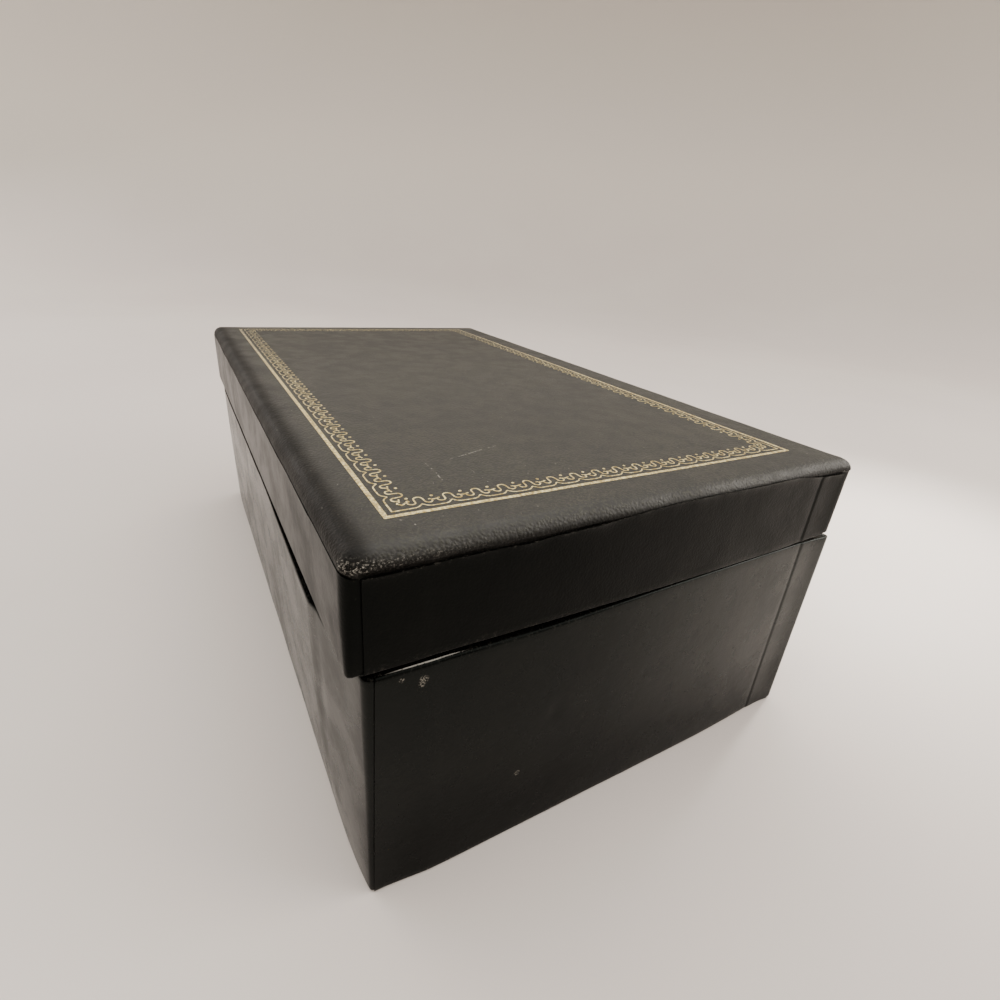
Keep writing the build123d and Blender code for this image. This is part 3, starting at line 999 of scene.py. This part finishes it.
def top_sheet_points():
    """The top of the lid as a block's top and sides, with the block's edges rounded over."""
    low = np.array([-LID_END - COVER, LID_FRONT, LID_TOP - 3 * TOP_ROLL])
    high = np.array([LID_END + COVER, LID_BACK, LID_TOP])
    xs, ys = edge_lines(low[0], high[0], 4.0), edge_lines(low[1], high[1], 4.0)
    cells = [(i, j) for i in range(len(xs) - 1) for j in range(len(ys) - 1)]

    def within_roll(x, y):
        inner_x = clamp(x, low[0] + TOP_ROLL, high[0] - TOP_ROLL)
        return inner_x, clamp(y, low[1] + TOP_ROLL, high[1] - TOP_ROLL)

    vertices, index, faces = [], {}, []
    for i, x in enumerate(xs):
        for j, y in enumerate(ys):
            index[i, j] = len(vertices)
            vertices.append(tuple(rounded((x, y, high[2]), low, high, TOP_ROLL)))
    for i, j in cells:
        faces.append([index[i, j], index[i + 1, j], index[i + 1, j + 1], index[i, j + 1]])
    ring = [(i, 0) for i in range(len(xs))]
    ring += [(len(xs) - 1, j) for j in range(1, len(ys))]
    ring += [(i, len(ys) - 1) for i in range(len(xs) - 2, -1, -1)]
    ring += [(0, j) for j in range(len(ys) - 2, 0, -1)]
    previous = [index[key] for key in ring]
    # Inset and drop of the rows down the roll, round its lip and up behind the side covers
    skirt = [
        (0.0, 2.0), (0.0, 3.2), (0.03, 4.1), (0.12, 4.5), (0.4, 4.8),
        (0.85, 5.3), (0.95, 6.2), (1.2, 6.2), (1.15, 3.6), (2.0, 3.52),
    ]
    for inset, drop in skirt:
        here = []
        for i, j in ring:
            x, y = xs[i], ys[j]
            point = rounded((x, y, high[2] - drop), low, high, TOP_ROLL)
            shrink = rounded((x, y, high[2] - 1.5 * TOP_ROLL), low, high, TOP_ROLL)
            way = Vector((shrink.x, shrink.y, 0)) - Vector((*within_roll(x, y), 0))
            way.normalize()
            if drop > 4.0 and inset < 1.0:
                inset = min(inset, 0.46 + 0.45 * way.x**2)
            point -= way * inset
            here.append(len(vertices))
            vertices.append(tuple(point))
        for k in range(len(ring)):
            n = (k + 1) % len(ring)
            faces.append([previous[k], here[k], here[n], previous[n]])
        previous = here
    under = dict(zip(ring, previous))
    for i, x in enumerate(xs):
        for j, y in enumerate(ys):
            if (i, j) not in under:
                under[i, j] = len(vertices)
                vertices.append((*within_roll(x, y), high[2] - skirt[-1][1]))
    for i, j in cells:
        faces.append([under[i, j], under[i, j + 1], under[i + 1, j + 1], under[i + 1, j]])
    for number, (x, y, z) in enumerate(vertices):
        x, y = square_corner(x, y, high[0], high[1], TOP_ROLL, LID_BACK_CORNER)
        x, turned = square_corner(x, -y, high[0], -low[1], TOP_ROLL, LID_CORNER)
        x, y = thick_corner(x, -turned, high[0], high[1])
        vertices[number] = (x, y, z)
    return vertices, faces


def uneven_surface(mesh):
    """Small lumps of the wadding, felt through the cover."""
    work = bmesh.new()
    work.from_mesh(mesh)
    work.normal_update()
    moved = []
    for vertex in work.verts:
        x, y, z = vertex.co / MM
        lumps = 0.1 * wobble(x, y, z, 24, 11) + 0.05 * wobble(x, y, z, 7, 12)
        lumps *= smooth_step(z, LID_TOP - 6, LID_TOP - 2)
        moved.append(vertex.co + vertex.normal * lumps * MM)
    for vertex, place in zip(work.verts, moved):
        vertex.co = place
    work.to_mesh(mesh)
    work.free()


def apply_modifiers(piece):
    shown = piece.evaluated_get(bpy.context.evaluated_depsgraph_get())
    mesh = bpy.data.meshes.new_from_object(shown)
    piece.modifiers.clear()
    piece.data = mesh
    return mesh


def padded_lid_top(material):
    """The top cover over its wadding: rolled edges, a low crown and small unevenness."""
    vertices, faces = top_sheet_points()
    wear = []
    for x, y, z in vertices:
        tip = bell(math.hypot(abs(x) - LID_END, y - LID_FRONT - 2), 0, 3.5)
        beside = bell(y, LID_FRONT + 3, 24) * (abs(x) > LID_END - 4)
        low_down = bell(z, LID_TOP - 3.2, 1.2)
        wear.append(min(1.0, (tip + 0.42 * beside) * low_down))
    piece = new_piece("padded_lid_top", vertices, faces, material, None, wear, sharp=0)
    edge = LID_TOP - 0.35
    swell_by_cloth(piece, [v.index for v in piece.data.vertices if v.co.z / MM < edge])
    uneven_surface(piece.data)
    finer = piece.modifiers.new("Finer", "SUBSURF")
    finer.levels = 1
    finer.render_levels = 1
    apply_modifiers(piece)
    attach(piece, "lid")
    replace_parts(piece, "lid_top_cover", "lid_wadding")
    return piece


# The gilt border

def ribbon(points, width, closed=False):
    """A flat band along points in plan, as vertices and faces."""
    count = len(points)
    nodes = [Vector(p) for p in points]
    vertices = []
    for k, here in enumerate(nodes):
        before = nodes[k - 1] if closed or k else here
        after = nodes[(k + 1) % count] if closed or k < count - 1 else here
        into = (here - before).normalized() if here != before else (after - here).normalized()
        onward = (after - here).normalized() if here != after else into
        left_in, left_on = Vector((-into.y, into.x)), Vector((-onward.y, onward.x))
        mitre = (left_in + left_on) / max(1 + left_in.dot(left_on), 0.4)
        vertices += [tuple(here + mitre * width / 2), tuple(here - mitre * width / 2)]
    faces = []
    for k in range(count if closed else count - 1):
        n = (k + 1) % count
        faces.append([2 * k, 2 * n, 2 * n + 1, 2 * k + 1])
    return vertices, faces


def scroll_strokes(half_pitch):
    """Strokes of one arch with its curled feet, shoulders and link, and their widths."""
    arch = arc((-2.25, 5.62), 1.0, 180, 352, 6)
    arch += arc((0, 7.05), 1.16, 176, 4, 6)
    arch += arc((2.25, 5.62), 1.0, 188, 360, 6)
    curl = arc((-2.66, 5.82), 0.6, 200, 62, 4)
    shoulder = [(-half_pitch, 2.8), (-2.1, 2.85), (-1.2, 3.15), (-0.55, 3.75), (0, 4.35)]
    return [
        (arch, 0.42),
        (curl, 0.38),
        ([(-x, y) for x, y in curl], 0.38),
        (shoulder, 0.38),
        ([(-x, y) for x, y in shoulder[::-1]], 0.38),
        ([(-half_pitch, 5.95), (-half_pitch + 0.45, 6.12), (-3.1, 5.85)], 0.42),
        ([(3.1, 5.85), (half_pitch - 0.45, 6.12), (half_pitch, 5.95)], 0.42),
    ]


def pearl(centre):
    ring = arc(centre, PEARL, 0, 315, 7)
    return [tuple(centre)] + ring, [[0, k, k % 8 + 1] for k in range(1, 9)]


def flat_object(name, groups):
    """A helper mesh in plan that is only repeated by the node tree and never shown itself."""
    vertices, faces = [], []
    for points, polygons in groups:
        base = len(vertices)
        vertices += [(x * MM, y * MM, 0.0) for x, y in points]
        faces += [[base + k for k in polygon] for polygon in polygons]
    mesh = bpy.data.meshes.new(name)
    mesh.from_pydata(vertices, [], faces)
    return bpy.data.objects.new(name, mesh)


def border_tree():
    """Repeats one motif along each side of a rectangle, with a corner motif at each corner."""
    tree = bpy.data.node_groups.new("Gilt border", "GeometryNodeTree")
    tree.interface.new_socket("Geometry", in_out="OUTPUT", socket_type="NodeSocketGeometry")
    for kind, names in (
        ("Object", ("Long motif", "Short motif", "Corner motif")),
        ("Int", ("Long repeats", "Short repeats")),
        ("Float", ("Length", "Width", "Corner run")),
        ("Material", ("Material",)),
    ):
        for name in names:
            tree.interface.new_socket(name, in_out="INPUT", socket_type=f"NodeSocket{kind}")
    nodes = Nodes(tree)
    given = nodes.add("NodeGroupInput", {}).outputs
    whole = nodes.add("GeometryNodeJoinGeometry", {})

    def repeat(motif, points, turn):
        source = nodes.add("GeometryNodeObjectInfo", {"Object": given[motif]}).outputs["Geometry"]
        inputs = {"Points": points, "Instance": source, "Rotation": (0, 0, turn)}
        copies = nodes.add("GeometryNodeInstanceOnPoints", inputs)
        nodes.feed(copies.outputs[0], whole.inputs[0])

    for quarter in range(4):
        turn = math.radians(90 * quarter)
        sign = 1 if quarter < 2 else -1
        is_long = quarter % 2 == 0
        size = "Long" if is_long else "Short"
        length, across = ("Length", "Width") if is_long else ("Width", "Length")
        reach = nodes.times(given[length], 0.5 * sign)
        run = nodes.times(given["Corner run"], sign)
        out = nodes.times(given[across], -0.5 * sign if is_long else 0.5 * sign)
        start, end = nodes.math("SUBTRACT", run, reach), nodes.math("SUBTRACT", reach, run)
        places = []
        for along in (start, end, nodes.times(reach, -1.0)):
            x, y = (along, out) if is_long else (out, along)
            places.append(nodes.add("ShaderNodeCombineXYZ", {"X": x, "Y": y}).outputs[0])
        inputs = {"Count": given[f"{size} repeats"], "Start Location": places[0]}
        line = nodes.add("GeometryNodeMeshLine", inputs, mode="END_POINTS")
        ends = [s for s in line.inputs if s.name in ("End Location", "Offset") and s.enabled]
        nodes.feed(places[1], ends[-1])
        repeat(f"{size} motif", line.outputs[0], turn)
        spot = nodes.add("GeometryNodePoints", {"Position": places[2]})
        repeat("Corner motif", spot.outputs[0], turn)
    real = nodes.add("GeometryNodeRealizeInstances", {0: whole.outputs[0]})
    inputs = {"Geometry": real.outputs[0], "Material": given["Material"]}
    paint = nodes.add("GeometryNodeSetMaterial", inputs)
    nodes.add("NodeGroupOutput", {"Geometry": paint.outputs[0]})
    return tree


def drape(mesh, surface):
    """Cuts long faces up, lays the flat work on the top and gives it the leaf's thickness."""
    work = bmesh.new()
    work.from_mesh(mesh)
    bmesh.ops.remove_doubles(work, verts=work.verts, dist=2e-5)
    long_edges = [e for e in work.edges if e.calc_length() > 6 * MM]
    while long_edges:
        bmesh.ops.subdivide_edges(work, edges=long_edges, cuts=1, use_grid_fill=True)
        long_edges = [e for e in work.edges if e.calc_length() > 6 * MM]
    for face in work.faces:
        if face.normal.z < 0:
            face.normal_flip()
    walls = bmesh.ops.extrude_face_region(work, geom=list(work.faces))
    raised = {v for v in walls["geom"] if isinstance(v, bmesh.types.BMVert)}
    for vertex in work.verts:
        hit = surface.ray_cast(Vector((vertex.co.x, vertex.co.y, 1.0)), Vector((0, 0, -1)))
        vertex.co.z = hit[0].z + (LEAF if vertex in raised else -0.1) * MM
    bmesh.ops.recalc_face_normals(work, faces=work.faces)
    work.to_mesh(mesh)
    work.free()


def gilt_border(top, material):
    """Thick line, scalloped line, running scroll and pearls, laid on the padded top."""
    low, high = box_mm("gilt_line")
    length, width = high[0] - low[0], high[1] - low[1]
    middle = (high[1] + low[1]) / 2
    values = {
        "Length": float(length * MM),
        "Width": float(width * MM),
        "Corner run": CORNER_RUN * MM,
        "Material": material,
    }
    helpers = []
    for name, side in (("Long", length), ("Short", width)):
        repeats = round((side - 2 * CORNER_RUN) / SCROLL_PITCH)
        half_pitch = (side - 2 * CORNER_RUN) / repeats / 2
        groups = [ribbon(points, thick) for points, thick in scroll_strokes(half_pitch)]
        groups.append(pearl((half_pitch, 8.05)))
        helpers.append(flat_object(f"motif_{name.lower()}", groups))
        values[f"{name} motif"] = helpers[-1]
        values[f"{name} repeats"] = repeats + 1
    corner_groups = [
        ribbon([(2.8, 6.8), (2.8, 2.8), (6.8, 2.8)], 0.46),
        ribbon([(5.6, 6.9), (5.25, 6.1), (5.75, 5.75), (6.1, 5.25), (6.9, 5.6)], 0.5),
        pearl((8.3, 8.3)),
    ]
    helpers.append(flat_object("motif_corner", corner_groups))
    values["Corner motif"] = helpers[-1]
    piece = link_object("gilt_border", bpy.data.meshes.new("gilt_border"))
    modifier = piece.modifiers.new("Border", "NODES")
    modifier.node_group = border_tree()
    for item in modifier.node_group.interface.items_tree:
        if item.in_out == "INPUT" and item.name in values:
            modifier[item.identifier] = values[item.name]
    mesh = apply_modifiers(piece)
    end, side = length / 2 - LINE_WIDTH / 2, width / 2 - LINE_WIDTH / 2
    corners = [(-end, -side), (end, -side), (end, side), (-end, side)]
    helpers.append(flat_object("line", [ribbon(corners, LINE_WIDTH, closed=True)]))
    work = bmesh.new()
    work.from_mesh(mesh)
    work.from_mesh(helpers[-1].data)
    bmesh.ops.translate(work, verts=work.verts, vec=(0, float(middle * MM), 0))
    work.to_mesh(mesh)
    work.free()
    points = [v.co for v in top.data.vertices]
    drape(mesh, BVHTree.FromPolygons(points, [list(p.vertices) for p in top.data.polygons]))
    mesh.materials.clear()
    mesh.materials.append(material)
    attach(piece, "lid")
    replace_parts(piece, "gilt_line", "gilt_scallops", "gilt_scroll")
    for helper in helpers:
        bpy.data.objects.remove(helper)


# The cloth hinge

def cloth_hinge(material):
    """One strip of cloth from the body's back, round the fold, to the lid's back."""
    low, high = box_mm("hinge_body_leaf")
    leaf_top = box_mm("hinge_lid_leaf")[1][2]
    body_y, lid_y, body_top = low[1], LID_BACK, high[2]
    thick = high[1] - low[1]
    path = [(body_y, z) for z in spread(low[2], body_top - 1.2, 2.0)]
    path += [(body_y - 0.02, body_top - 0.4), (body_y - 0.1, body_top + 0.35)]
    path += [(body_y - 0.75, body_top + 1.05), (lid_y + 0.75, LID_RIM - 0.15)]
    path += [(lid_y + 0.12, LID_RIM + 0.5), (lid_y, LID_RIM + 1.4)]
    path += [(lid_y, z) for z in spread(LID_RIM + 2.4, leaf_top, 2.0)]
    nodes = [Vector(p) for p in path]
    normals = []
    for k in range(len(nodes)):
        run = (nodes[min(k + 1, len(nodes) - 1)] - nodes[max(k - 1, 0)]).normalized()
        normals.append(Vector((run.y, -run.x)))
    outer, inner, wear = [], [], []
    for x in spread(high[0], low[0], 3.0):
        waves = [0.1 * (1 + wobble(x, 0, node.y, 11, 21)) for node in nodes]
        faces = [n + way * (thick * 0.75 + w) for n, way, w in zip(nodes, normals, waves)]
        outer.append([(x, *point) for point in faces])
        inner.append([(x, *(node + way * 0.02)) for node, way in zip(nodes, normals)])
        wear.append([0.6 * bell(node.y, (body_top + LID_RIM) / 2, 1.2) for node in nodes])
    grids = np.array(outer), np.array(inner), np.array(wear)
    piece = shell("cloth_hinge", *grids, material, "hinge_cloth", None)
    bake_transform(piece)
    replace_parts(piece, "hinge_body_leaf", "hinge_lid_leaf")


# The photographer's set, and everything put together

def make_floor():
    """A pale floor that curves up into a wall behind the box and runs on flat in front of it."""
    drop = 0.0001
    bend = spread(0.1, math.pi / 2, 0.12)
    profile = [(0.4, 0.0), (0.8, 0.0), (1.2, 0.0)]
    profile += [(1.2 + 1.1 * math.sin(a), 1.1 - 1.1 * math.cos(a)) for a in bend]
    profile += [(2.3, 1.5), (2.3, 1.9)]
    count = 96
    vertices, faces = [(0.0, 0.0, -drop)], []
    for radius, height in profile:
        for k in range(count):
            turn = 2 * math.pi * k / count
            rise = smooth_step(math.cos(turn - math.radians(150)), 0.0, 0.45)
            far = radius + (1 - rise) * max(radius - 1.2, 0.0) * 2
            vertices.append((far * math.cos(turn), far * math.sin(turn), height * rise - drop))
    for k in range(count):
        faces.append([0, 1 + k, 1 + (k + 1) % count])
    for ring in range(len(profile) - 1):
        for k in range(count):
            here, onward = 1 + ring * count + k, 1 + ring * count + (k + 1) % count
            faces.append([here, here + count, onward + count, onward])
    mesh = bpy.data.meshes.new("floor")
    mesh.from_pydata(vertices, [], faces)
    mesh.shade_smooth()
    mesh.materials.append(floor_finish())
    link_object("floor", mesh)


def give_material(nodes, material):
    for name in nodes:
        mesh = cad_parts[name].data
        mesh.materials.clear()
        mesh.materials.append(material)


make_camera()
make_world()
make_lights()
make_floor()

body_cloth = side_leathercloth(
    "leathercloth_body", ("#040404", "#080807"), 0.22, 0.19, body_gloss, 0.9, 0.012, BODY_CHIPS
)
lid_cloth = side_leathercloth(
    "leathercloth_lid_side", ("#030303", "#060605"), 0.3, 0.1, lid_gloss, 0.7, 0.035
)
for name, half, at_back, column_at, cloth, node in (
    ("body_front_cover", BODY, False, body_column, body_cloth, "front_cover"),
    ("body_back_cover", BODY, True, body_column, body_cloth, "back_cover"),
    ("lid_front_strip", LID, False, lid_column, lid_cloth, "lid_front_cover"),
    ("lid_back_strip", LID, True, lid_column, lid_cloth, "lid_back_cover"),
):
    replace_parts(side_cover(name, half, at_back, column_at, cloth), node)
right, left = end_panels("body_", BODY, body_end_rows, body_end_swell, body_cloth)
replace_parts(right, "right_end_panel")
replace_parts(left, "left_end_panel")
right, left = end_panels("lid_", LID, lid_end_rows, lid_end_swell, lid_cloth)
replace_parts(right, "lid_right_end_panel")
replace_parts(left, "lid_left_end_panel")
gilt_border(padded_lid_top(top_leathercloth()), gold_leaf())
cloth_hinge(hinge_cloth())

board_material = greyboard()
wall_boards = ["front_board", "back_board", "right_board", "left_board"]
for wall in wall_boards:
    wall_board(wall, board_material)
linings = [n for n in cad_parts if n.endswith("_lining")]
boards = [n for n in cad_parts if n.endswith("_board") and n not in wall_boards]
give_material(linings, lining_paper())
give_material([*boards, "base_filler"], board_material)
give_material(["base_paper"], base_paper())
